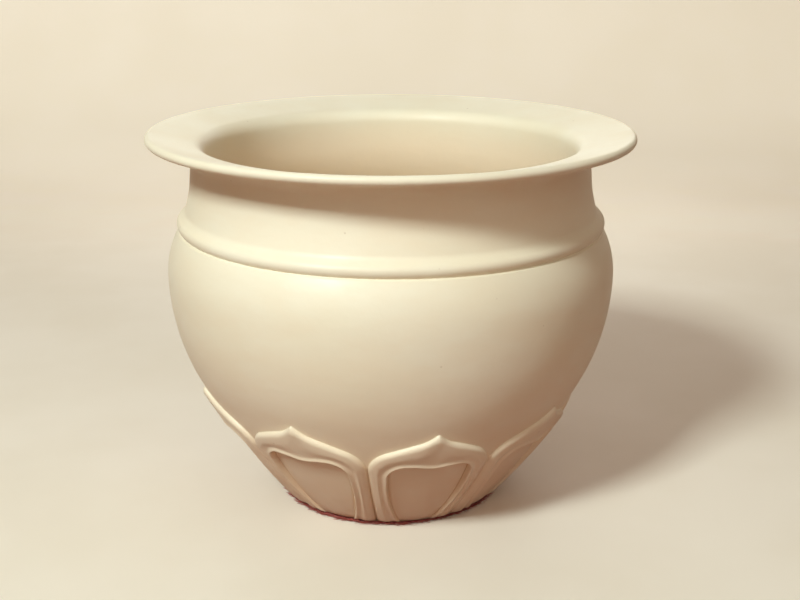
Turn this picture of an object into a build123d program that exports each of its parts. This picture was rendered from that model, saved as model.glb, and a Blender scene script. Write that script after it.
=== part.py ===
from build123d import *
import os
from math import cos, radians, sin, tan

# A slip-cast cachepot: a wide rolled rim on a short neck, a bead over a round belly that draws in
# to a small foot, and a ring of relief petals that rise from the foot. A felt pad is stuck under it.
# The origin is on the pot's axis, on the surface that the felt stands on. Angles are in degrees.

# Felt and film under the foot
felt_thickness = 1.4
film_thickness = 0.2
felt_reach = 0.8            # the felt stands out past the petals' reach at the foot
film_inset = 2.5            # from the felt's edge to the film's edge

# Heights of the casting, from its underside
belly_height = 156.4        # widest place of the belly
shoulder_rise = 28.8        # from there to the groove, where the belly ends
throat_rise = 56.0          # from there to where the throat starts to open into the belly
rim_rise = 93.2             # from there to the top of the lip

# Radii of the casting, the belly's and others stated by how far they lie from it
foot_radius = 71.6
belly_radius = 149.4
shoulder_draw = 8.0         # the belly's upper edge
neck_top_draw = 18.4
throat_draw = 27.4
rim_reach = 10.6            # the lip stands out past the belly

# Bead and neck, each point stated from the one below it
groove_width = 1.6
groove_depth = 2.2
bead_tuck = 1.0             # how far the bead's lower edge lies behind the belly's upper edge
bead_bulge = 1.7            # from the bead's lower edge out to its outermost line
bead_swell = 4.3            # and up to it
bead_top_draw = 3.8         # from that line in to the bead's top
bead_top_rise = 6.0
neck_foot_step = 3.0        # from the bead's top in and up to the neck's foot
neck_waist_draw = 2.3       # from there to where the neck's taper turns steep
neck_waist_rise = 12.3
neck_foot_rounding = 4.0
neck_rounding = 40.0

# Walls, lip and roundings of the casting
wall = 8.0
floor_thickness = 10.0
floor_inset = 1.6           # from the foot's radius to where the inner wall meets the floor
belly_turn = 27.0           # the belly is round from its widest place down to this turn
lip_radius = 2.6
rim_slope = 13.0            # the rim climbs outwards
throat_rounding = 12.0
rim_root_rounding = 9.0
floor_rounding = 16.0
foot_bevel = 1.0

# Petals
petal_count = 9
petal_turn = 12.8           # from the front to the nearest petal's middle
petal_gap_turn = 2.4        # between neighbours at their crests
tip_drop = 1.2              # the tip, before it is rounded, lies this far under the round belly
petal_relief = 3.4          # how far the frame stands out of the belly
petal_root = 2.0            # how deep the petal is bedded in the belly
brow_slope = 17.5           # the top edge falls away from the tip's flare
flare_half_width = 7.5
flare_height = 5.0          # from the flare's ends to the tip
tip_softness = 0.4          # the tip is rounded by this much more than the petal's edge
petal_shoulder_rounding = 16.0
petal_edge_rounding = 2.0

# Recessed panel of a petal, and the fine lip around it
panel_share = 0.675         # how far the panel climbs up the petal's side
panel_dip = 1.9             # how far the top edge dips below the tip
frame_foot_width = 13.0     # from the petal's side to the panel, at the foot
frame_top_width = 6.0       # the same at the panel's top
panel_corner_rounding = 11.0
panel_brow_run = 1.8        # straight run of the top edge between a rounded corner and the dip
panel_relief = 0.9          # the panel's floor stands a little proud of the belly
lip_width = 1.5
lip_relief = 0.6            # how far the fine lip stands over the frame

overrun = 5.0               # cutters reach this far past what they cut

foot_z = felt_thickness + film_thickness
belly_z = foot_z + belly_height
rim_radius = belly_radius + rim_reach


# The belly's side below its widest place: a flare from the low end, then a round of the radius
def belly_side(low_radius, low_z, radius):
    turn = radians(belly_turn)
    bend = (radius * cos(turn), belly_z - radius * sin(turn))
    middle = (radius * cos(turn / 2), belly_z - radius * sin(turn / 2))
    flare = TangentArc(bend, (low_radius, low_z), tangent=(-sin(turn), -cos(turn)))
    return [flare, ThreePointArc(bend, middle, (radius, belly_z))]


def casting_section():
    slope = radians(rim_slope)
    shoulder = (belly_radius - shoulder_draw, belly_z + shoulder_rise)
    bead_start = (shoulder[0] - bead_tuck, shoulder[1] + groove_width)
    bead_middle = (bead_start[0] + bead_bulge, bead_start[1] + bead_swell)
    bead_end = (bead_middle[0] - bead_top_draw, bead_middle[1] + bead_top_rise)
    neck_foot = (bead_end[0] - neck_foot_step, bead_end[1] + neck_foot_step)
    neck_waist = (neck_foot[0] - neck_waist_draw, neck_foot[1] + neck_waist_rise)
    neck_top_radius = belly_radius - neck_top_draw
    throat_radius = belly_radius - throat_draw
    lip_middle = (rim_radius - lip_radius, belly_z + rim_rise - lip_radius)
    lip_low = (lip_middle[0] + lip_radius * sin(slope), lip_middle[1] - lip_radius * cos(slope))
    lip_high = (lip_middle[0] - lip_radius * sin(slope), lip_middle[1] + lip_radius * cos(slope))
    rim_root = (neck_top_radius, lip_low[1] - (lip_low[0] - neck_top_radius) * tan(slope))
    throat_edge = (throat_radius, lip_high[1] - (lip_high[0] - throat_radius) * tan(slope))
    inner_shoulder = (shoulder[0] - wall, shoulder[1])
    floor_edge = (foot_radius - floor_inset, foot_z + floor_thickness)

    section = make_face([
        Line((0, foot_z), (foot_radius, foot_z)),
        *belly_side(foot_radius, foot_z, belly_radius),
        TangentArc((belly_radius, belly_z), shoulder, tangent=(0, 1)),
        Polyline(
            shoulder,
            (shoulder[0] - groove_depth, shoulder[1] + groove_width / 2),
            bead_start,
        ),
        ThreePointArc(bead_start, bead_middle, bead_end),
        FilletPolyline(bead_end, neck_foot, neck_waist, rim_root, lip_low,
                       radius=[neck_foot_rounding, neck_rounding, rim_root_rounding]),
        ThreePointArc(lip_low, (rim_radius, lip_middle[1]), lip_high),
        FilletPolyline(lip_high, throat_edge, (throat_radius, belly_z + throat_rise),
                       radius=throat_rounding),
        Line((throat_radius, belly_z + throat_rise), inner_shoulder),
        TangentArc((belly_radius - wall, belly_z), inner_shoulder, tangent=(0, 1)),
        *belly_side(*floor_edge, belly_radius - wall),
        Line(floor_edge, (0, floor_edge[1])),
        Line((0, floor_edge[1]), (0, foot_z)),
    ])
    section = fillet(section.vertices().sort_by_distance(floor_edge)[0], floor_rounding)
    return chamfer(section.vertices().sort_by_distance((foot_radius, foot_z))[0], foot_bevel)


# A slice of the layer between two reliefs over the belly, facing the front
def relief_layer(low_relief, high_relief):
    low = belly_side(foot_radius + low_relief, foot_z, belly_radius + low_relief)
    high = belly_side(foot_radius + high_relief, foot_z, belly_radius + high_relief)
    section = make_face([
        *low,
        *high,
        Line((foot_radius + low_relief, foot_z), (foot_radius + high_relief, foot_z)),
        Line((belly_radius + low_relief, belly_z), (belly_radius + high_relief, belly_z)),
    ])
    slice_angle = 360 / petal_count + 2 * petal_gap_turn
    layer = revolve(Plane.XZ * section, Axis.Z, slice_angle)
    return Rot(0, 0, -90 - slice_angle / 2) * layer


# An outline seen from the front, pushed through the front of the pot
def front_prism(outline):
    return extrude(Plane.XZ * outline, belly_radius + petal_relief + overrun)


# The petal's side keeps its angle round the pot, so seen from the front it bows as the belly does
def petal_side():
    flare = belly_side(foot_radius + petal_relief, foot_z, belly_radius + petal_relief)[0]
    turn = radians((360 / petal_count - petal_gap_turn) / 2)
    return ThreePointArc([((flare @ share).X * sin(turn), (flare @ share).Y) for share in (1, 0.5, 0)])


def mirrored_face(half, *rest):
    return make_face(half + [mirror(edge, Plane.YZ) for edge in half] + list(rest))


def petal_outline():
    side = petal_side()
    foot, high = side @ 0, side @ 1
    tip = (0, high.Y - tip_drop)
    low, top = foot.Y - overrun, high.Y + overrun
    between_sides = mirrored_face(
        [Line((foot.X, low), foot), side, Line(high, (high.X, top))],
        Line((-foot.X, low), (foot.X, low)),
        Line((-high.X, top), (high.X, top)),
    )
    brow = radians(brow_slope)
    flare = (flare_half_width, tip[1] - flare_height)
    brow_end = (high.X + overrun, flare[1] - (high.X + overrun - flare[0]) * tan(brow))
    under_brow = mirrored_face(
        [
            Line((brow_end[0], low), brow_end),
            Line(brow_end, flare),
            TangentArc(flare, tip, tangent=(-cos(brow), sin(brow))),
        ],
        Line((-brow_end[0], low), (brow_end[0], low)),
    )
    outline = between_sides & under_brow
    across = outline.vertices().sort_by(Axis.X)
    outline = fillet([across[0], across[-1]], petal_shoulder_rounding)
    peak = outline.vertices().sort_by(Axis.Y)[-1]
    return fillet(peak, petal_edge_rounding + tip_softness)


# The panel's outline, or a larger one that stands off it by the same margin all round
def panel_outline(margin=0):
    side = petal_side()
    foot_x, foot_y = (side @ 0).X - frame_foot_width, (side @ 0).Y
    top_x, top_y = (side @ panel_share).X - frame_top_width, (side @ panel_share).Y
    lean = (top_x - foot_x) / (top_y - foot_y)
    outer_x = foot_x + margin * (1 + lean ** 2) ** 0.5
    low = (outer_x - overrun * lean, foot_y - overrun)
    corner = (outer_x + (top_y + margin - foot_y) * lean, top_y + margin)
    rounding = panel_corner_rounding + margin
    rounding_run = rounding * (lean + (1 + lean ** 2) ** 0.5)
    bend = (corner[0] - rounding_run - panel_brow_run, corner[1])
    edge = FilletPolyline(low, corner, bend, radius=rounding)
    dip = Spline(bend, (0, top_y + margin - panel_dip), tangents=[(-1, 0), (-1, 0)])
    return mirrored_face([edge, dip], Line((-low[0], low[1]), low))


def petal():
    frame = relief_layer(-petal_root, petal_relief) & front_prism(petal_outline())
    on_crest = belly_side(foot_radius + petal_relief, foot_z, belly_radius + petal_relief)[0] @ 0.5
    crest = frame.faces().sort_by_distance((0, -on_crest.X, on_crest.Y))[0]
    all_but_foot_edge = crest.edges().sort_by(Axis.Z)[1:]
    frame = fillet(all_but_foot_edge, petal_edge_rounding)
    panel = front_prism(panel_outline())
    lip = front_prism(panel_outline(lip_width)) - panel
    lip = relief_layer(panel_relief, petal_relief + lip_relief) & lip
    pocket = relief_layer(panel_relief, petal_relief + lip_relief + overrun) & panel
    return frame + lip - pocket


def pot_casting():
    casting = revolve(Plane.XZ * casting_section(), Axis.Z)
    first = Rot(0, 0, petal_turn) * petal()
    petals = [Rot(0, 0, number * 360 / petal_count) * first for number in range(petal_count)]
    return casting.fuse(*petals)


def disc(radius, low_z, thickness):
    return Pos(0, 0, low_z) * extrude(Circle(radius), thickness)


felt_radius = foot_radius + petal_relief + felt_reach
parts = {
    "pot_casting": pot_casting(),
    "adhesive_film": disc(felt_radius - film_inset, felt_thickness, film_thickness),
    "felt_pad": disc(felt_radius, 0, felt_thickness),
}

os.makedirs("parts", exist_ok=True)
for name, shape in parts.items():
    shape.label = name
    export_step(shape, os.path.join("parts", name + ".step"))
    print(name, "solids", len(shape.solids()), "volume", round(shape.volume), "mm3")
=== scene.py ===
import bpy
import random
from math import atan2, cos, degrees, pi, radians, sin, sqrt, tan
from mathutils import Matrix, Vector, noise


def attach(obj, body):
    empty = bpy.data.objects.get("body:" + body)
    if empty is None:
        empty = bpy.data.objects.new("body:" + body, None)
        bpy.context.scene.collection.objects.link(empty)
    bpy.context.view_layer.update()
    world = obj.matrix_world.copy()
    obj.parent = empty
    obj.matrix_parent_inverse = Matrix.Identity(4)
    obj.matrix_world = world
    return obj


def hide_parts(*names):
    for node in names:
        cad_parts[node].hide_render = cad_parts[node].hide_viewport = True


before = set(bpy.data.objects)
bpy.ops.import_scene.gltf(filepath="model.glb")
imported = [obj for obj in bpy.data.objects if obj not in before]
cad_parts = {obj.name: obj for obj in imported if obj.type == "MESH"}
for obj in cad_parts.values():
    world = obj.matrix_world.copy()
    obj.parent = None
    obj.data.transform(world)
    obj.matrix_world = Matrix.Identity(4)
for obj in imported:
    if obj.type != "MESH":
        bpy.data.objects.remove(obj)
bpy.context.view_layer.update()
print("frame loaded")

mm = 0.001  # shapes are worked out in millimetres, and meshes are made in metres


class Wire:  # an output socket that can stand in a formula
    def __init__(self, finish, socket):
        self.finish, self.socket = finish, socket

    def calc(self, operation, *values):
        return self.finish.node("Math", {"operation": operation}, dict(enumerate(values)))

    def __add__(self, other): return self.calc("ADD", self, other)
    def __radd__(self, other): return self.calc("ADD", other, self)
    def __sub__(self, other): return self.calc("SUBTRACT", self, other)
    def __rsub__(self, other): return self.calc("SUBTRACT", other, self)
    def __mul__(self, other): return self.calc("MULTIPLY", self, other)
    def __rmul__(self, other): return self.calc("MULTIPLY", other, self)

    def most(self, other): return self.calc("MAXIMUM", self, other)

    def fade(self, low, high):  # 0 below low, 1 above high, smooth between
        return self.finish.node("MapRange", {"interpolation_type": "SMOOTHSTEP"},
                                {"Value": self, "From Min": low, "From Max": high})


class Finish:  # the nodes of one material, or of the world
    def __init__(self, owner):
        self.owner = owner
        owner.use_nodes = True
        self.tree = owner.node_tree
        self.tree.nodes.clear()

    def node(self, kind, settings=None, inputs=None, output=0):
        made = self.tree.nodes.new("ShaderNode" + kind)
        for key, value in (settings or {}).items():
            setattr(made, key, value)
        for key, value in (inputs or {}).items():
            if isinstance(value, Wire):
                self.tree.links.new(value.socket, made.inputs[key])
            elif value is not None:
                made.inputs[key].default_value = value
        return Wire(self, made.outputs[output]) if output is not None else None

    def place(self):  # the point in the object's own frame, in metres
        return self.node("TexCoord", output=3)

    def stretch(self, place, scale):
        return self.node("Mapping", {}, {"Vector": place, "Scale": scale})

    def grain(self, place, scale, detail=2.0, roughness=0.5):
        return self.node("TexNoise", {}, {"Vector": place, "Scale": scale, "Detail": detail,
                                          "Roughness": roughness})

    def along(self, place, axis):  # one of the point's three measures, 2 being its height
        return self.node("SeparateXYZ", {}, {0: place}, output=axis)

    def ray(self, kind):
        return self.node("LightPath", output=kind)

    def seen(self):  # 1 for rays that show the surface itself, 0 for those that light other things
        return (self.ray("Is Camera Ray").most(self.ray("Is Glossy Ray"))
                .most(self.ray("Is Transmission Ray")))

    def mask(self, name):
        return self.node("Attribute", {"attribute_name": name}, output=2)

    def mix(self, share, low, high):  # inputs 6 and 7 are the node's two colours
        colours = [(*colour, 1) if isinstance(colour, tuple) else colour for colour in (low, high)]
        return self.node("Mix", {"data_type": "RGBA"}, {0: share, 6: colours[0], 7: colours[1]}, output=2)

    def bump(self, height, depth, strength=1.0, under=None):  # the depth is in metres
        return self.node("Bump", {}, {"Strength": strength, "Distance": depth,
                                      "Height": height, "Normal": under})

    def surface(self, inputs, kind="BsdfPrincipled", end="OutputMaterial"):
        self.node(end, {}, {"Surface": self.node(kind, {}, inputs)}, output=None)
        return self.owner


def linear(red, green, blue):  # a colour as seen on screen, 0 to 255, as Blender's scene colour
    shares = [channel / 255 for channel in (red, green, blue)]
    return tuple(c / 12.92 if c <= 0.04045 else ((c + 0.055) / 1.055) ** 2.4 for c in shares)


def blend(low, high, share):
    return low + (high - low) * share


def ease(value, low, high):  # 0 below low, 1 above high, smooth between
    share = min(max((value - low) / (high - low), 0), 1)
    return share * share * (3 - 2 * share)


def bell(value, middle, width):  # 1 at the middle, and almost 0 from two widths on
    nearE = 2.718
    return nearE ** (-((value - middle) / width) ** 2)


def makePiece(name, points, faces, material, masks=None):
    mesh = bpy.data.meshes.new(name)
    mesh.from_pydata([(x * mm, y * mm, z * mm) for x, y, z in points], [], faces)
    for maskName, values in (masks or {}).items():
        mesh.attributes.new(maskName, "FLOAT", "POINT").data.foreach_set("value", values)
    mesh.shade_smooth()
    mesh.update()
    piece = bpy.data.objects.new(name, mesh)
    bpy.context.scene.collection.objects.link(piece)
    mesh.materials.append(material)
    return piece


pot = {
    "footHeight": 1.6,        # felt and film lie under the foot
    "footRadius": 71.6,
    "bellyRadius": 149.4,
    "bellyHeight": 158.0,     # widest place, from the floor
    "bellyTurn": 27.0,        # degrees below the widest place where the round turns into the flare
    "bellyRows": 16,
    "shoulder": (141.4, 187.3),
    "shoulderRounding": 1.1,
    "shoulderSteps": 9,
    "grooveDepth": 1.7,
    "grooveWidth": 1.6,
    "grooveRounding": 0.6,
    "bead": ((140.6, 188.9), (142.1, 192.4), (139.6, 196.3)),
    "beadSteps": 14,
    "neckFoot": (136.5, 199.2),
    "neckFootRounding": 6.0,
    "neckWaist": (133.0, 214.0),
    "neckWaistRounding": 60.0,
    "neckTopRadius": 131.0,
    "rimRootRounding": 9.0,
    "rimRadius": 159.9,
    "rimTop": 251.2,
    "lipRadius": 2.9,
    "lipSteps": 6,            # of each half of the lip's round
    "rimSlope": 13.0,
    "throatRadius": 122.0,
    "throatRounding": 10.0,
    "throatSteps": 9,
    "throatLow": 203.0,
    "throatLowRounding": 60.0,
    "innerShoulder": (136.6, 178.0),
    "innerShoulderRounding": 40.0,
    "wall": 8.0,
    "innerRows": 22,
    "floorHeight": 11.6,
    "floorInset": 1.6,        # from the foot's radius to where the inner wall meets the floor
    "floorRounding": 16.0,
    "floorRows": 3,           # inner rows that give way to that round
    "floorMiddle": 0.5,       # the floor's rows end at this radius, round one middle point
    "shoulderSpacing": 5.0,   # between the rows of the long runs
    "neckSpacing": 6.0,
    "floorSpacing": 12.0,
    "insideShadeFade": (215.0, 243.2),  # heights over which the painted shade down the inside gives way to the rim's tone
    "undersideShares": (0.985, 0.5),  # of the foot's radius, for the underside's rows
}


def arcBetween(start, end, centre, steps):  # points on the round from start to end
    angles = [atan2(y - centre[1], x - centre[0]) for x, y in (start, end)]
    turn = (angles[1] - angles[0] + pi) % (2 * pi) - pi
    radius = sqrt((start[0] - centre[0]) ** 2 + (start[1] - centre[1]) ** 2)
    return [(centre[0] + radius * cos(angles[0] + turn * i / steps),
             centre[1] + radius * sin(angles[0] + turn * i / steps)) for i in range(steps + 1)]


def arcCentre(start, direction, end):  # of the round that leaves start in that direction
    dx, dy = end[0] - start[0], end[1] - start[1]
    nx, ny = -direction[1], direction[0]
    reach = (dx * dx + dy * dy) / (2 * (dx * nx + dy * ny))
    return (start[0] + nx * reach, start[1] + ny * reach)


def throughThree(start, middle, end, steps):  # points on the round through three points
    (ax, ay), (bx, by), (cx, cy) = start, middle, end
    a2, b2, c2 = ax * ax + ay * ay, bx * bx + by * by, cx * cx + cy * cy
    size = 2 * (ax * (by - cy) + bx * (cy - ay) + cx * (ay - by))
    centre = ((a2 * (by - cy) + b2 * (cy - ay) + c2 * (ay - by)) / size,
              (a2 * (cx - bx) + b2 * (ax - cx) + c2 * (bx - ax)) / size)
    half = steps // 2
    return (arcBetween(start, middle, centre, half)
            + arcBetween(middle, end, centre, steps - half)[1:])


def roundCorners(corners, steps=7):  # corners are (x, y, rounding), and the ends stay sharp
    nearHalf = 0.499  # of an edge, so that the rounds at its two ends stay apart
    path = [corners[0][:2]]
    for before, (x, y, rounding), after in zip(corners, corners[1:-1], corners[2:]):
        here = Vector((x, y))
        back, on = Vector(before[:2]) - here, Vector(after[:2]) - here
        if rounding == 0:
            path.append((x, y))
            continue
        half = back.angle(on) / 2
        run = min(rounding / tan(half), back.length * nearHalf, on.length * nearHalf)
        start, end = here + back.normalized() * run, here + on.normalized() * run
        centre = here + (back.normalized() + on.normalized()).normalized() * (run / cos(half))
        path += arcBetween(tuple(start), tuple(end), tuple(centre), steps)
    return path + [corners[-1][:2]]


def spread(path, spacing):  # adds points on long runs
    result = [path[0]]
    for (x0, y0), (x1, y1) in zip(path, path[1:]):
        parts = max(1, round(sqrt((x1 - x0) ** 2 + (y1 - y0) ** 2) / spacing))
        result += [(blend(x0, x1, i / parts), blend(y0, y1, i / parts)) for i in range(1, parts + 1)]
    return result


class Belly:  # the outer side from the foot to the shoulder, or a side within it, by arc length
    def __init__(self, radius, low):
        turn = radians(pot["bellyTurn"])
        self.middle = (0.0, pot["bellyHeight"])
        bend = (radius * cos(turn), pot["bellyHeight"] - radius * sin(turn))
        self.centre = arcCentre(bend, (-sin(turn), -cos(turn)), low)
        self.radius = radius
        self.flareRadius = sqrt((low[0] - self.centre[0]) ** 2 + (low[1] - self.centre[1]) ** 2)
        self.start = atan2(low[1] - self.centre[1], low[0] - self.centre[0])
        self.flareRun = (-turn - self.start) * self.flareRadius
        self.length = self.flareRun + turn * radius  # up to the widest place

    def at(self, run):  # (radius, height) and the outward direction
        if run < self.flareRun:
            angle, centre, radius = self.start + run / self.flareRadius, self.centre, self.flareRadius
        else:
            angle = -radians(pot["bellyTurn"]) + (run - self.flareRun) / self.radius
            centre, radius = self.middle, self.radius
        direction = (cos(angle), sin(angle))
        return (centre[0] + radius * direction[0], centre[1] + radius * direction[1]), direction


outerSide = Belly(pot["bellyRadius"], (pot["footRadius"], pot["footHeight"]))


def innerPath():  # down the inside from the belly's widest place to the floor's middle
    rows, left = pot["innerRows"], pot["floorRows"]
    inner = Belly(pot["bellyRadius"] - pot["wall"],
                  (pot["footRadius"] - pot["floorInset"], pot["floorHeight"]))
    down = [inner.at(inner.length * (1 - i / rows))[0] for i in range(rows + 1)]
    floor = roundCorners([
        (*down[-left - 1], 0),
        (*down[-1], pot["floorRounding"]),
        (pot["floorMiddle"], pot["floorHeight"], 0),
    ])
    return down[1:-left - 1] + spread(floor, pot["floorSpacing"])


def upperPath():  # from the belly's widest place over the rim and down the inside
    slope = radians(pot["rimSlope"])
    belly, widest = pot["bellyRadius"], pot["bellyHeight"]
    shoulder = pot["shoulder"]
    lip = pot["lipRadius"]
    shoulderArc = arcBetween((belly, widest), shoulder, arcCentre((belly, widest), (0, 1), shoulder),
                             pot["shoulderSteps"])
    lipX, lipY = pot["rimRadius"] - lip, pot["rimTop"] - lip
    lipLow = (lipX + lip * sin(slope), lipY - lip * cos(slope))
    lipHigh = (lipX - lip * sin(slope), lipY + lip * cos(slope))
    rootY = lipLow[1] - (lipLow[0] - pot["neckTopRadius"]) * tan(slope)
    throatY = lipHigh[1] - (lipHigh[0] - pot["throatRadius"]) * tan(slope)
    groove = roundCorners([
        (*shoulderArc[-2], 0),
        (*shoulder, pot["shoulderRounding"]),
        (shoulder[0] - pot["grooveDepth"], shoulder[1] + pot["grooveWidth"] / 2, pot["grooveRounding"]),
        (*pot["bead"][0], 0),
    ])
    bead = throughThree(*pot["bead"], pot["beadSteps"])
    neck = roundCorners([
        (*bead[-1], 0),
        (*pot["neckFoot"], pot["neckFootRounding"]),
        (*pot["neckWaist"], pot["neckWaistRounding"]),
        (pot["neckTopRadius"], rootY, pot["rimRootRounding"]),
        (*lipLow, 0),
    ])
    outermost = (pot["rimRadius"], lipY)
    lipArc = (arcBetween(lipLow, outermost, (lipX, lipY), pot["lipSteps"])
              + arcBetween(outermost, lipHigh, (lipX, lipY), pot["lipSteps"])[1:])
    throat = roundCorners([
        (*lipHigh, 0),
        (pot["throatRadius"], throatY, pot["throatRounding"]),
        (pot["throatRadius"], pot["throatLow"], pot["throatLowRounding"]),
        (*pot["innerShoulder"], pot["innerShoulderRounding"]),
        (belly - pot["wall"], widest, 0),
    ], pot["throatSteps"])
    return (spread(shoulderArc[:-1], pot["shoulderSpacing"]) + groove[1:] + bead[1:]
            + spread(neck, pot["neckSpacing"])[1:] + lipArc[1:]
            + spread(throat, pot["neckSpacing"])[1:] + innerPath())


petal = {
    "count": 9,
    "turn": 12.8,             # degrees from the front to the nearest petal's middle
    "sideTurn": 19.82,        # degrees from a petal's middle to its side
    "tilt": 2.6,              # the ring of tips isn't quite level: it stands this much higher
    "tiltTurn": -55.0,        # at this turn from the front
    "valleyShifts": (-1.2, 0.5, -0.7, 0.4, 0.8, -0.5, 0.3, 0.0, 0.0),  # degrees, by the petals' order
    "shiftWidth": 11.0,       # degrees to each side over which a shift dies out
    "browStart": 99.9,        # run up the belly to the top edge's line at the middle
    "browFall": (0.30, 0.0035),  # by the way sideways and by its square
    "browInset": 1.05,        # a line within the edge lies this much lower for each millimetre
    "tipReach": 4.4,          # the tip stands this far over that line
    "tipHalfWidth": 10.0,
    "tipPower": 1.9,
    "tipSoftness": (0.6, 1.1),  # the tip is blunt, and blunter further in
    "tipShrink": (0.08, 6.0),   # share that it loses for each millimetre further in, and up to where
    "shoulderRounding": 17.0,
    "leastRounding": 5.0,
    "panelSide": (10.3, 0.44, -0.0028),  # half width of the sunk panel, by the run up the belly
    "panelTop": 77.0,
    "panelDip": (2.3, 9.0),   # how far its top edge dips at the middle, and how wide
    "panelRounding": 10.0,
    "panelSwell": 0.5,
    "crestHeight": 3.6,
    "crestWidth": 5.2,        # of the round over the edge
    "edgeShare": 0.89,        # of the crest's height, where that round begins
    "channelFall": 1.1,       # how far the frame sinks from the crest to the lip
    "channelShares": (-0.05, 0.7),  # of the frame's width, from the channel up to the crest
    "crestShares": (0.45, 1.15),    # and from the crest down to the edge
    "lipHeight": 0.9,
    "lipMiddle": 0.45,
    "lipWidths": (0.6, 1.5),  # towards the panel and towards the frame
    "stepWidth": 0.7,         # from the panel's edge in to its floor
    "grooveShare": 0.34,      # depth of the line round the panel, by the height of the step over it
    "grooveLine": (-0.95, 0.5),   # its middle, from the panel's edge, and its width
    "panelHeights": (1.9, -0.3),  # of the panel's floor over the belly, at the foot and at the top
    "panelRise": 62.0,            # run at which the top's height is reached
    "valleyHeights": (1.4, 0.0),  # of the floor between two petals, at the foot and higher up
    "valleyRise": 40.0,
    "tipSwell": (0.45, 3.5, 3.2),   # height, place below the tip, and width
    "tipDent": (0.55, 15.0, 5.5),
    "dentStretch": 0.8,
    "swellLimit": 0.2,        # only relief over this swells
    "levelRun": 9.0,          # below this run the relief grows level, so that the foot stays flat
    "footTuck": (1.0, 1.4),   # how far the foot's edge is drawn in, and up to which run
    "panelShade": (-0.8, 0.6),     # painted shade at the panel's edge: middle and width
    "edgeShade": (0.6, 0.6),       # painted shade at the petal's edge: strength and width
    "skirtShade": 0.5,
    "edgeShadeFade": (40.0, 72.0),  # runs over which the painted shade at the edge ends
    "edgeShadeHeight": 0.6,        # share of the crest's height under which it counts as the edge's
    "valleyShade": 0.8,
    "valleyShadeFade": (35.0, 66.0),
    "panelOutsets": (-3.0, -1.8, -1.1, -0.8, -0.6, -0.4, -0.2, 0.0, 0.25, 0.5, 0.75, 1.0, 1.3, 1.7,
                     2.3, 3.0),
    "frameInner": 3.3,        # the even part of the frame begins this far outside the panel's edge
    "frameRows": 10,
    "edgeInsets": (4.3, 3.6, 3.0, 2.4, 1.9, 1.4, 1.0, 0.65, 0.35, 0.15, 0.0),
    "skirt": 0.12,            # the last line stands this far outside the edge, on the belly
    "cornerGuess": 60.0,      # run near which the corner's round is looked for
    "footStations": (0.0, 0.4, 0.9, 1.6),
    "sideStations": 27,
    "cornerStations": 12,     # of the whole round
    "topStations": 17,
    "topCrowding": 1.3,       # the stations lie closer near the tip
    "ringRun": 116.0,         # above this run the pot is plain
    "ringRows": 10,
    "ringCrowding": 1.6,
}


def wallRadius(run):
    return outerSide.at(max(run, 0))[0][0]


def slopeOf(line, place):  # line is a function
    near = 0.1
    return (line(place + near) - line(place - near)) / (2 * near)


def cornerRound(sideAt, topAt, rounding):
    # a round that touches the side and the top edge from within: its two ends and its middle
    x = sideAt(petal["cornerGuess"]) - rounding
    run = topAt(sideAt(petal["cornerGuess"])) - rounding
    searches, touches = 10, 4  # for the round's middle, and within each for where it touches
    for _ in range(searches):
        sideRun, topX = run, x
        for _ in range(touches):
            lean = slopeOf(sideAt, sideRun)
            sideRun += ((x - sideAt(sideRun)) * lean + run - sideRun) / (1 + lean * lean)
            fall = slopeOf(topAt, topX)
            topX += (x - topX + (run - topAt(topX)) * fall) / (1 + fall * fall)
        inX, inRun = Vector((-1, lean)).normalized()
        downX, downRun = Vector((fall, -1)).normalized()
        side = inX * sideAt(sideRun) + inRun * sideRun + rounding
        top = downX * topX + downRun * topAt(topX) + rounding
        size = inX * downRun - inRun * downX
        x, run = (side * downRun - inRun * top) / size, (inX * top - side * downX) / size
    return (sideAt(sideRun), sideRun), (topX, topAt(topX)), (x, run)


def arch(sideAt, topAt, rounding):  # half an arch: up the side, round the corner, on to the middle
    start, end, centre = cornerRound(sideAt, topAt, rounding)
    runs = list(petal["footStations"])
    climbs = petal["sideStations"] - len(runs)
    runs += [blend(runs[-1], start[1], (i + 1) / (climbs + 1)) for i in range(climbs)]
    stations = petal["topStations"]
    across = [end[0] * (1 - i / stations) ** petal["topCrowding"] for i in range(1, stations + 1)]
    return ([(sideAt(run), run) for run in runs]
            + arcBetween(start, end, centre, petal["cornerStations"])
            + [(x, topAt(x)) for x in across])


def outerArch(inset):  # half of the petal's edge, or of a line within it, as (sideways, run)
    def sideAt(run):
        return wallRadius(run) * radians(petal["sideTurn"]) - inset

    def topAt(x):
        soft = petal["tipSoftness"][0] + petal["tipSoftness"][1] * max(inset, 0)
        x = sqrt(x * x + soft * soft) - soft
        near = max(0.0, 1 - x / petal["tipHalfWidth"])
        fall = petal["browFall"][0] * x + petal["browFall"][1] * x * x
        reach = petal["tipReach"] * (1 - petal["tipShrink"][0] * min(inset, petal["tipShrink"][1]))
        return petal["browStart"] - fall - inset * petal["browInset"] + reach * near ** petal["tipPower"]

    return arch(sideAt, topAt, max(petal["shoulderRounding"] - inset, petal["leastRounding"]))


def panelArch(outset):  # half of the panel's edge, or of a line round it
    foot, lean, curve = petal["panelSide"]
    dip, dipWidth = petal["panelDip"]

    def sideAt(run):
        slope = lean + 2 * curve * run
        return foot + lean * run + curve * run * run + outset * sqrt(1 + slope * slope)

    def topAt(x):
        return petal["panelTop"] + outset - dip * bell(x, 0, dipWidth)

    return arch(sideAt, topAt, petal["panelRounding"] + outset)


def panelFloor(run):
    low, high = petal["panelHeights"]
    return blend(low, high, ease(run, 0, petal["panelRise"]))


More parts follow.
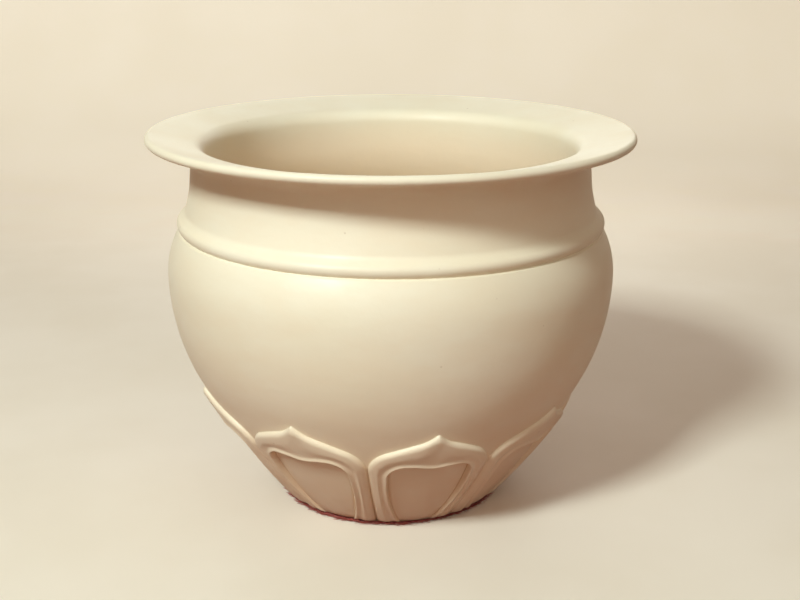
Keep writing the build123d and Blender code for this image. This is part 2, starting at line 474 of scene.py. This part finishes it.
def frameLines():  # from within the panel's edge to the petal's: (points, step, relief, painted recess shade)
    lines = []  # step goes from the panel's floor, 0, to the frame, 1
    crest = petal["crestHeight"]
    channel, edge = crest - petal["channelFall"], crest * petal["edgeShare"]
    toPanel, toFrame = petal["lipWidths"]
    for outset in petal["panelOutsets"]:
        lipWidth = toFrame if outset > petal["lipMiddle"] else toPanel
        relief = channel + petal["lipHeight"] * bell(outset, petal["lipMiddle"], lipWidth)
        step = ease(outset, -petal["stepWidth"], 0.0)
        step -= petal["grooveShare"] * bell(outset, *petal["grooveLine"])
        lines.append((panelArch(outset), step, relief, bell(outset, *petal["panelShade"])))
    inner, outer = panelArch(petal["frameInner"]), outerArch(petal["edgeInsets"][0])
    for i in range(petal["frameRows"]):
        share = i / petal["frameRows"]
        points = [(blend(x0, x1, share), blend(y0, y1, share))
                  for (x0, y0), (x1, y1) in zip(inner, outer)]
        relief = blend(channel, crest, ease(share, *petal["channelShares"]))
        relief -= (crest - edge) * ease(share, *petal["crestShares"])
        lines.append((points, 1, relief, 0.0))
    # painted shade along the petal's edge and just outside it
    shadeStrength, shadeWidth = petal["edgeShade"]
    for inset in petal["edgeInsets"]:
        rise = sqrt(1 - (1 - min(inset / petal["crestWidth"], 1)) ** 2)
        lines.append((outerArch(inset), 1, edge * rise, shadeStrength * bell(inset, 0, shadeWidth)))
    lines.append((outerArch(-petal["skirt"]), 1, 0.0, petal["skirtShade"]))
    return lines


def shifted(turn):  # the petals were pressed by hand, so the valleys aren't quite evenly spaced
    for number, shift in enumerate(petal["valleyShifts"]):
        valley = radians(petal["turn"] + (number + 0.5) * 360 / petal["count"])
        away = (turn - valley + pi) % (2 * pi) - pi
        turn += radians(shift) * bell(degrees(away), 0, petal["shiftWidth"])
    return turn


def tilted(run, turn):  # the run that a petal's point really has at this turn
    lift = petal["tilt"] * cos(turn - radians(petal["tiltTurn"]))
    return run * (1 + lift / petal["browStart"])


def mirrored(half):
    return [(-x, run) for x, run in half] + [(x, run) for x, run in reversed(half[:-1])]


class PotMesh:
    def __init__(self):
        self.points, self.faces, self.hollow, self.inside = [], [], [], []

    def add(self, x, y, z, hollow=0.0, inside=0.0):
        self.points.append((x, y, z))
        self.hollow.append(hollow)
        self.inside.append(inside)
        return len(self.points) - 1

    def onWall(self, number, sideways, run, relief, hollow=0.0):
        middle = radians(petal["turn"] + number * 360 / petal["count"])
        turn = shifted(sideways / wallRadius(run) + middle)
        (radius, height), (outX, outZ) = outerSide.at(max(tilted(run, turn), 0))
        level = ease(run, 0, petal["levelRun"])
        outX, outZ = blend(1, outX, level), blend(0, outZ, level)
        size = sqrt(outX * outX + outZ * outZ)
        tuck, tuckRun = petal["footTuck"]
        reach = radius + relief * outX / size - tuck * max(0, 1 - run / tuckRun) ** 2
        return self.add(reach * sin(turn), -reach * cos(turn), height + relief * outZ / size, hollow)

    def strip(self, low, high, closed=False):
        count = len(low)
        for i in range(count if closed else count - 1):
            j = (i + 1) % count
            self.faces.append((low[i], low[j], high[j], high[i]))

    def fan(self, ring, middle, down=False):
        for i, here in enumerate(ring):
            on = ring[(i + 1) % len(ring)]
            self.faces.append((on, here, middle) if down else (here, on, middle))


def handWorked(sideways, run, relief):  # a petal's tip swells a little, and the frame under it is dented
    over = run - (petal["browStart"] + petal["tipReach"])
    swell, swellDrop, swellWidth = petal["tipSwell"]
    dent, dentDrop, dentWidth = petal["tipDent"]
    fromDent = (over + dentDrop) * petal["dentStretch"]
    relief += swell * bell(sqrt(sideways ** 2 + (over + swellDrop) ** 2), 0, swellWidth)
    return relief - dent * bell(sqrt(sideways ** 2 + fromDent ** 2), 0, dentWidth)


def buildPanel(mesh, number, edge, outline):  # the panel within its first line, as a grid of points
    first = [Vector(point) for point in outline]
    last = len(first) - 1
    sides = petal["sideStations"] + petal["cornerStations"] // 2
    across = last - 2 * sides
    grid = []
    for i in range(sides + 1):
        v = i / sides
        left, right = first[i], first[last - i]
        line = [edge[i]]
        for j in range(1, across):
            u = j / across
            low = first[0].lerp(first[last], u)
            corners = low.lerp(first[sides].lerp(first[sides + across], u), v)
            spot = left.lerp(right, u) + low.lerp(first[sides + j], v) - corners
            spot.y = max(spot.y, 0) if i else 0
            swell = petal["panelSwell"] * (1 - (spot.x / max(abs(left.x), 1)) ** 2)
            line.append(mesh.onWall(number, spot.x, spot.y, panelFloor(spot.y) + swell))
        grid.append(line + [edge[last - i]])
    grid[-1] = edge[sides:sides + across + 1]
    for low, high in zip(grid, grid[1:]):
        mesh.strip(low, high)
    return grid[0][1:-1]  # the points along the panel's foot


def buildPetal(mesh, number, lines):  # returns the petal's edge, and the row along its foot
    rows = []
    edgeHeight = petal["crestHeight"] * petal["edgeShadeHeight"]
    for points, step, relief, hollow in lines:
        row = []
        for sideways, run in mirrored(points):
            high = handWorked(sideways, run, relief) if relief > petal["swellLimit"] else relief
            # painted recess shade, fading out up the petal's edge
            recessShade = hollow
            if relief < edgeHeight and step == 1:
                recessShade *= 1 - ease(run, *petal["edgeShadeFade"])
            row.append(mesh.onWall(number, sideways, run, blend(panelFloor(run), high, step), recessShade))
        rows.append(row)
    for low, high in zip(rows, rows[1:]):
        mesh.strip(low, high)
    panelFoot = buildPanel(mesh, number, rows[0], mirrored(lines[0][0]))
    foot = [row[0] for row in reversed(rows)] + panelFoot + [row[-1] for row in rows]
    return rows[-1], foot


def buildValleys(mesh, edges, feet, outline):  # returns the ring over the petals, its runs and the foot's
    last = len(outline) - 1
    split = petal["sideStations"] + petal["cornerStations"] // 2
    low, high = petal["valleyHeights"]
    ring, runs, footRing = [], [], []
    for number, edge in enumerate(edges):
        after = edges[(number + 1) % petal["count"]]
        valley = []
        for sideways, run in outline[:split + 1]:
            half = radians(180 / petal["count"]) * wallRadius(run)
            relief = blend(low, high, ease(run, 0, petal["valleyRise"]))
            # painted shade on the valley's floor, fading out higher up
            recessShade = petal["valleyShade"] * (1 - ease(run, *petal["valleyShadeFade"]))
            valley.append(mesh.onWall(number, half, run, relief, recessShade))
        mesh.strip(valley, [edge[last - i] for i in range(split + 1)])
        mesh.strip(after[:split + 1], valley)
        ring += edge[split:last - split + 1] + [valley[split]]
        runs += [run for sideways, run in outline[split:last - split + 1]] + [outline[split][1]]
        footRing += feet[number] + [valley[0]]
    return ring, runs, footRing


def buildRing(mesh, ring, runs):  # up from the petals' top edges to a level ring of even columns
    count = len(ring)
    angles = [atan2(mesh.points[index][0], -mesh.points[index][1]) for index in ring]
    even = [angles[0] + 2 * pi * i / count for i in range(count)]
    angles = [even[i] + (angles[i] - even[i] + pi) % (2 * pi) - pi for i in range(count)]
    shift = sum(angle - place for angle, place in zip(angles, even)) / count
    even = [place + shift for place in even]
    for row in range(1, petal["ringRows"] + 1):
        share = (row / petal["ringRows"]) ** petal["ringCrowding"]
        current = []
        for i in range(count):
            run = blend(tilted(runs[i], angles[i]), petal["ringRun"], share)
            turn = blend(angles[i], even[i], ease(share, 0, 1))
            radius, height = outerSide.at(run)[0]
            current.append(mesh.add(radius * sin(turn), -radius * cos(turn), height))
        mesh.strip(ring, current, closed=True)
        ring = current
    return ring, even


def buildTurned(mesh, ring, even):  # the plain part, with one column for two of the petals'
    count = len(ring)
    columns = count // 2
    climb = outerSide.length - petal["ringRun"]
    steps = pot["bellyRows"]
    path = [outerSide.at(petal["ringRun"] + climb * i / steps)[0] for i in range(1, steps)] + upperPath()
    lipRow = max(range(len(path)), key=lambda row: path[row][1])
    rows = []
    for row, (x, z) in enumerate(path):
        # painted shade down the inside, fading out towards the rim
        inside = 1 - ease(z, *pot["insideShadeFade"]) if row > lipRow else 0
        rows.append([mesh.add(x * sin(even[2 * i]), -x * cos(even[2 * i]), z, 0, inside)
                     for i in range(columns)])
    for i in range(columns):
        a, b, c = (ring[(2 * i + k) % count] for k in range(3))
        low, high = rows[0][i], rows[0][(i + 1) % columns]
        mesh.faces += [(a, b, low), (b, high, low), (b, c, high)]
    for low, high in zip(rows, rows[1:]):
        mesh.strip(low, high, closed=True)
    mesh.fan(rows[-1], mesh.add(0, 0, pot["floorHeight"]))
    print("ring points:", count, "turned rows:", len(rows))


def buildUnderside(mesh, footRing):
    previous = footRing
    for share in pot["undersideShares"]:
        current = [mesh.add(mesh.points[i][0] * share, mesh.points[i][1] * share, pot["footHeight"])
                   for i in footRing]
        mesh.strip(current, previous, closed=True)
        previous = current
    mesh.fan(previous, mesh.add(0, 0, pot["footHeight"]), down=True)


def buildPot(material):
    mesh = PotMesh()
    lines = frameLines()
    edges, feet = zip(*[buildPetal(mesh, number, lines) for number in range(petal["count"])])
    print("petals made:", len(mesh.points), "points")
    ring, runs, footRing = buildValleys(mesh, edges, feet, mirrored(lines[-1][0]))
    buildTurned(mesh, *buildRing(mesh, ring, runs))
    buildUnderside(mesh, footRing)
    return makePiece("pot", mesh.points, mesh.faces, material,
                     {"hollow": mesh.hollow, "inside": mesh.inside})


glaze = {
    "cream": linear(242, 236, 214),
    "pale": linear(245, 241, 223),
    "paleShare": 0.7,
    "warm": linear(241, 229, 204),
    "warmShare": 0.35,
    "low": linear(238, 210, 180),    # painted warm shade, towards the foot
    "lowShadeShare": 0.55,
    "lowShadeFade": (0.01, 0.15),         # heights in metres
    "inner": linear(240, 219, 192),  # painted warm shade down the inside
    "innerShadeShare": 0.6,
    # painted shade in the recesses
    "recessShade": linear(222, 192, 156),
    "recessShadeShare": 0.42,
    "deep": linear(184, 136, 96),    # painted deep shade in the line round a panel
    "deepShadeShare": 0.5,
    "deepShadeFade": (0.8, 1.0),
    "speck": linear(160, 134, 104),
    "speckShare": 0.3,
    "speckFade": (0.05, 0.11),       # a speck's size, by the spacing of the places that may hold one
    "speckRarity": (0.60, 0.66),
    "speckScale": 120.0,
    "noises": {"cloud": (9, 3), "drift": (26, 4, 0.6), "rare": (31, 1), "fine": (900, 3, 0.6),
               "skin": (240, 2), "swell": (22, 2)},  # scale, detail and roughness
    "cloudFade": (0.35, 0.65),
    "driftFade": (0.3, 0.7),
    "driftStretch": (1, 1, 2.4),
    "swellStretch": (1, 1, 3),
    "bumps": {"swell": (0.0009, 0.35), "skin": (0.00016, 0.5), "fine": (0.00005, 0.5),
              "speck": (0.0002, 0.6)},  # depth in metres, and strength
    "roughness": 0.52,
    "driftRoughness": 0.10,
    "fineRoughness": 0.05,
    "index": 1.5,
    "coat": 0.05,
    "coatRoughness": 0.25,
}


def creamGlaze():
    finish = Finish(bpy.data.materials.new("cream glaze"))
    place = finish.place()
    noises, bumps = glaze["noises"], glaze["bumps"]
    height = finish.along(place, 2)
    cloud = finish.grain(place, *noises["cloud"]).fade(*glaze["cloudFade"])
    drift = finish.grain(finish.stretch(place, glaze["driftStretch"]), *noises["drift"])
    drift = drift.fade(*glaze["driftFade"])
    colour = finish.mix(cloud * glaze["paleShare"], glaze["cream"], glaze["pale"])
    colour = finish.mix(drift * glaze["warmShare"], colour, glaze["warm"])
    # painted warm shade, stronger towards the foot
    colour = finish.mix((1 - height.fade(*glaze["lowShadeFade"])) * glaze["lowShadeShare"], colour, glaze["low"])
    # painted warm shade down the inside
    colour = finish.mix(finish.mask("inside") * glaze["innerShadeShare"], colour, glaze["inner"])
    # painted shade in the recesses: petal edges, valleys and round the panels
    hollow = finish.mask("hollow")
    colour = finish.mix(hollow * glaze["recessShadeShare"], colour, glaze["recessShade"])
    # painted deep shade in the line round each panel
    colour = finish.mix(hollow.fade(*glaze["deepShadeFade"]) * glaze["deepShadeShare"], colour, glaze["deep"])
    spots = finish.node("TexVoronoi", {}, {"Vector": place, "Scale": glaze["speckScale"],
                                           "Randomness": 1.0})
    rare = finish.grain(place, *noises["rare"]).fade(*glaze["speckRarity"])
    speck = (1 - spots.fade(*glaze["speckFade"])) * rare
    colour = finish.mix(speck * glaze["speckShare"], colour, glaze["speck"])
    fine, skin = finish.grain(place, *noises["fine"]), finish.grain(place, *noises["skin"])
    swell = finish.grain(finish.stretch(place, glaze["swellStretch"]), *noises["swell"])
    normal = None
    for relief, name in ((swell, "swell"), (skin, "skin"), (fine, "fine"), (1 - speck, "speck")):
        normal = finish.bump(relief, *bumps[name], normal)
    roughness = (glaze["roughness"] + glaze["driftRoughness"] * (drift - 0.5)
                 + glaze["fineRoughness"] * (fine - 0.5))
    return finish.surface({
        "Base Color": colour, "Roughness": roughness, "Normal": normal, "IOR": glaze["index"],
        "Coat Weight": glaze["coat"], "Coat Roughness": glaze["coatRoughness"],
    })


potPiece = buildPot(creamGlaze())
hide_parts("pot_casting")
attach(potPiece, "root")
print("pot made:", len(potPiece.data.polygons), "faces")


glue = {
    "pale": linear(206, 196, 168),
    "deep": linear(186, 172, 140),
    "roughness": 0.4,
    "rippleNoise": (180, 3),
    "rippleFade": (0.3, 0.7),
    "rippleRoughness": 0.2,
    "rippleDepth": 0.0003,
}


def driedGlue():
    finish = Finish(bpy.data.materials.new("dried glue"))
    ripple = finish.grain(finish.place(), *glue["rippleNoise"])
    colour = finish.mix(ripple.fade(*glue["rippleFade"]), glue["pale"], glue["deep"])
    return finish.surface({"Base Color": colour,
                           "Roughness": glue["roughness"] + glue["rippleRoughness"] * ripple,
                           "Normal": finish.bump(ripple, glue["rippleDepth"])})


glueMaterial = driedGlue()
for slotNumber in range(len(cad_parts["adhesive_film"].material_slots)):
    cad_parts["adhesive_film"].material_slots[slotNumber].material = glueMaterial


felt = {
    "radius": 75.1,
    "thickness": 1.4,
    "seed": 7,
    "columns": 540,
    "rows": ((0.0, 0.97), (0.12, 0.999), (0.5, 1.0), (0.85, 1.0), (1.0, 0.99)),
                              # shares of the height and of the radius
    "ragInset": 0.5,          # the ragged edge swings about a line this far in
    "rags": ((0.5, 40, 1.5, 0), (0.35, 110, 4, 9)),
                              # how far each swings, its waves round the edge and up it, and its start
    "fibres": 1500,           # loose ones that stand out of the cut edge
    "tufts": 0.3,             # this share of the fibres clings together and looks thick
    "evenShare": 0.72,        # this share lies evenly round the edge, the rest near the front left
    "frontTurn": -28,
    "frontSpread": 22,
    "fibreLow": 0.1,
    "fibreRoot": 0.9,         # the fibres start this far within the edge
    "fibreLength": 5.4,
    "lengthShares": (0.3, 1.0),
    "lengthPower": 1.3,
    "lean": 1.4,
    "lifts": (-0.1, 0.72),
    "tuftWidths": (0.3, 0.55),
    "fibreWidths": (0.1, 0.22),
    "taper": 0.75,
    "bendPower": 1.3,
    "foldBack": 0.1,
    "fibreHeights": (0.06, 5.0),  # a fibre's line stays between these
    "clearance": 0.01,            # and its skin this far over the floor
    "fibreSteps": 3,
    "fibreCorners": 3,        # of its cross-section
    "fibreTwist": 0.5,
    "looseShades": (0.4, 0.6),    # at the fibre's root, and what its tip has more
    "fibreNoise": (1500, 4, 0.7),  # scale, detail and roughness
    "fibreStretch": (1, 1, 5),
    "fibreFade": (0.3, 0.7),
    "fibreBump": (0.0004, 0.8),    # depth in metres, and strength
    "clumpNoise": (260, 3),
    "clumpFade": (0.35, 0.65),
    "clumpBump": (0.0006, 0.6),
    "dark": linear(74, 10, 12),
    "light": linear(168, 34, 30),
    "matted": linear(112, 16, 18),
    "mattedShare": 0.6,
    "fluff": linear(216, 104, 88),
    "fluffShare": 0.85,
    "roughness": 0.95,
    "sheen": 0.4,
    "sheenRoughness": 0.5,
}


def redFelt():
    finish = Finish(bpy.data.materials.new("red felt"))
    place = finish.place()
    fibre = finish.grain(finish.stretch(place, felt["fibreStretch"]), *felt["fibreNoise"])
    clump = finish.grain(place, *felt["clumpNoise"])
    colour = finish.mix(fibre.fade(*felt["fibreFade"]), felt["dark"], felt["light"])
    colour = finish.mix(clump.fade(*felt["clumpFade"]) * felt["mattedShare"], colour, felt["matted"])
    colour = finish.mix(finish.mask("loose") * felt["fluffShare"], colour, felt["fluff"])
    normal = finish.bump(fibre, *felt["fibreBump"], finish.bump(clump, *felt["clumpBump"]))
    return finish.surface({"Base Color": colour, "Roughness": felt["roughness"], "Normal": normal,
                           "Sheen Weight": felt["sheen"], "Sheen Roughness": felt["sheenRoughness"]})


def buildDisc(points, faces):  # the felt itself, with a ragged edge
    columns = felt["columns"]
    rings = []
    for share, reach in felt["rows"]:
        ring = []
        for i in range(columns):
            turn = 2 * pi * i / columns
            rag = sum(swing * noise.noise((cos(turn) * waves, sin(turn) * waves, share * rise + start))
                      for swing, waves, rise, start in felt["rags"])
            radius = felt["radius"] * reach - felt["ragInset"] + rag
            ring.append(len(points))
            points.append((radius * sin(turn), -radius * cos(turn), felt["thickness"] * share))
        rings.append(ring)
    for low, high in zip(rings, rings[1:]):
        for i in range(columns):
            j = (i + 1) % columns
            faces.append((low[i], low[j], high[j], high[i]))
    for ring, height, flip in ((rings[0], 0, True), (rings[-1], felt["thickness"], False)):
        middle = len(points)
        points.append((0, 0, height))
        for i in range(columns):
            j = (i + 1) % columns
            faces.append((ring[j], ring[i], middle) if flip else (ring[i], ring[j], middle))


def buildFibre(points, faces, loose, dice):
    turn = (dice.uniform(0, 2 * pi) if dice.random() < felt["evenShare"]
            else radians(felt["frontTurn"] + dice.gauss(0, felt["frontSpread"])))
    height = dice.uniform(felt["fibreLow"], felt["thickness"])
    length = felt["fibreLength"] * dice.uniform(*felt["lengthShares"]) ** felt["lengthPower"]
    lean, lift = dice.uniform(-felt["lean"], felt["lean"]), dice.uniform(*felt["lifts"])
    thick = dice.random() < felt["tufts"]
    thin = dice.uniform(*felt["tuftWidths" if thick else "fibreWidths"])
    lowest, highest = felt["fibreHeights"]
    corners, previous = felt["fibreCorners"], None
    for step in range(felt["fibreSteps"] + 1):
        share = step / felt["fibreSteps"]
        bend = turn + lean * length * share ** felt["bendPower"] / felt["radius"]
        radius = felt["radius"] - felt["fibreRoot"] + length * share * (1 - felt["foldBack"] * share)
        z = min(max(height + lift * length * share * share, lowest), highest)
        width = thin * (1 - felt["taper"] * share)
        ring = []
        for corner in range(corners):
            angle = 2 * pi * corner / corners + felt["fibreTwist"]
            side, up = width * cos(angle), width * sin(angle)
            ring.append(len(points))
            points.append((radius * sin(bend) + side * cos(bend),
                           -radius * cos(bend) + side * sin(bend),
                           max(z + up, felt["clearance"])))
            loose.append(felt["looseShades"][0] + felt["looseShades"][1] * share)
        if previous:
            for k in range(corners):
                on = (k + 1) % corners
                faces.append((previous[k], previous[on], ring[on], ring[k]))
        else:
            faces.append(tuple(reversed(ring)))
        previous = ring
    faces.append(tuple(previous))


def buildFelt(material):
    dice = random.Random(felt["seed"])
    points, faces = [], []
    buildDisc(points, faces)
    loose = [0.0] * len(points)
    for _ in range(felt["fibres"]):
        buildFibre(points, faces, loose, dice)
    return makePiece("feltDisc", points, faces, material, {"loose": loose})


feltPiece = buildFelt(redFelt())
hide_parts("felt_pad")
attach(feltPiece, "root")
print("felt made:", len(feltPiece.data.polygons), "faces")


studio = {
    "floorColours": (linear(242, 235, 221), linear(247, 241, 229)),
    "floorBounce": linear(132, 76, 46),  # the tone that the floor throws back on the pot
    "floorRoughness": 0.6,
    "floorMottle": (6, 3),
    "mottleFade": (0.3, 0.7),
    "floorGrain": (300, 2),
    "floorBump": (0.0002, 0.3),
    "wallGlow": (0.30, 0.27, 0.205),  # seen by the camera, and lights nothing
    "wallFade": (0.35, 1.3),          # metres behind the pot
    "farGlow": (0.50, 0.45, 0.36),
    "farFade": (2.4, 4.0),            # metres from the pot
    "black": (0.0, 0.0, 0.0),
    "halfWidth": 6000,
    "sweepStart": 900,
    "sweepRadius": 500,
    "sweepTop": 2600,
    "sweepSteps": 12,
    "roomLight": (0.115, 0.068, 0.037),
    "roomSeen": (0.80, 0.73, 0.61),
    "cameraPlace": (0.0, -0.8078, 0.3849),
    "cameraPitch": 17.44,
    "sensorWidth": 36.0,
    "focalPixels": 1230.4,
    "imageWidth": 800,
    "potAxisPixel": 390.7,
    "dropPixels": 1.5,
    "potMiddle": 0.14,                # height in metres
}


def buildStudio():
    finish = Finish(bpy.data.materials.new("pale floor"))
    place = finish.place()
    mottle = finish.grain(place, *studio["floorMottle"]).fade(*studio["mottleFade"])
    seen = finish.seen()
    colour = finish.mix(seen, studio["floorBounce"], finish.mix(mottle, *studio["floorColours"]))
    reach = finish.node("VectorMath", {"operation": "LENGTH"}, {0: place}, output=1)
    wall = finish.along(place, 1).fade(*studio["wallFade"])
    glow = finish.mix(wall, studio["black"], studio["wallGlow"])
    glow = finish.mix(reach.fade(*studio["farFade"]), glow, studio["farGlow"])
    glow = finish.mix(seen, studio["black"], glow)
    grain = finish.bump(finish.grain(place, *studio["floorGrain"]), *studio["floorBump"])
    material = finish.surface({"Base Color": colour, "Roughness": studio["floorRoughness"],
                               "Emission Color": glow, "Emission Strength": 1.0, "Normal": grain})
    size, start, radius, steps = (studio[name] for name in
                                  ("halfWidth", "sweepStart", "sweepRadius", "sweepSteps"))
    path = [(-size, 0.0), (start, 0.0)]
    path += [(start + radius * sin(pi / 2 * i / steps), radius * (1 - cos(pi / 2 * i / steps)))
             for i in range(1, steps + 1)]
    path.append((start + radius, studio["sweepTop"]))
    points = [(x, y, z) for y, z in path for x in (-size, size)]
    faces = [(2 * i, 2 * i + 1, 2 * i + 3, 2 * i + 2) for i in range(len(path) - 1)]
    makePiece("sweep", points, faces, material)


def around(turn, rise, reach):  # a place seen from the pot's middle, turned from the front to the right
    turn, rise = radians(turn), radians(rise)
    return (reach * cos(rise) * sin(turn), -reach * cos(rise) * cos(turn),
            studio["potMiddle"] + reach * sin(rise))


lamps = {
    "key": {"place": around(-34.0, 41.0, 2.4), "aim": (0, 0, 0.14), "size": (0.42, 0.42),
            "energy": 47.0, "colour": (0.905, 0.985, 0.92)},
    "fill": {"place": around(14.0, 30.0, 2.2), "aim": (0, 0, 0.14), "size": (1.8, 1.6),
             "energy": 9.0, "colour": (1.0, 0.90, 0.76)},
    "top": {"place": (0.1, 0.15, 1.5), "aim": (0, 0, 0.2), "size": (1.1, 1.1),
            "energy": 1.0, "colour": (1.0, 0.98, 0.90)},
    "back": {"place": around(176, 21, 1.0), "aim": (0, 0, 0.14), "size": (0.9, 0.3),
             "energy": 2.0, "colour": (1.0, 0.98, 0.90)},
}


def buildLights():
    for name, values in lamps.items():
        lamp = bpy.data.lights.new(name, "AREA")
        lamp.shape = "RECTANGLE"
        lamp.size, lamp.size_y = values["size"]
        lamp.energy, lamp.color = values["energy"], values["colour"]
        holder = bpy.data.objects.new(name, lamp)
        holder.location = values["place"]
        toward = Vector(values["aim"]) - Vector(values["place"])
        holder.rotation_euler = toward.to_track_quat("-Z", "Y").to_euler()
        holder.visible_camera = False
        bpy.context.scene.collection.objects.link(holder)
    world = bpy.data.worlds.new("room")
    bpy.context.scene.world = world
    room = Finish(world)
    room.surface({"Color": room.mix(room.seen(), studio["roomLight"], studio["roomSeen"])},
                 "Background", "OutputWorld")


def buildCamera():
    lens = bpy.data.cameras.new("camera")
    lens.sensor_width = studio["sensorWidth"]
    lens.lens = studio["sensorWidth"] * studio["focalPixels"] / studio["imageWidth"]
    lens.shift_x = (studio["imageWidth"] / 2 - studio["potAxisPixel"]) / studio["imageWidth"]
    lens.shift_y = studio["dropPixels"] / studio["imageWidth"]
    camera = bpy.data.objects.new("camera", lens)
    camera.location = studio["cameraPlace"]
    camera.rotation_euler = (radians(90 - studio["cameraPitch"]), 0, 0)
    bpy.context.scene.collection.objects.link(camera)
    bpy.context.scene.camera = camera


buildStudio()
buildLights()
buildCamera()
bpy.context.scene.view_settings.view_transform = "Standard"
print("studio made")
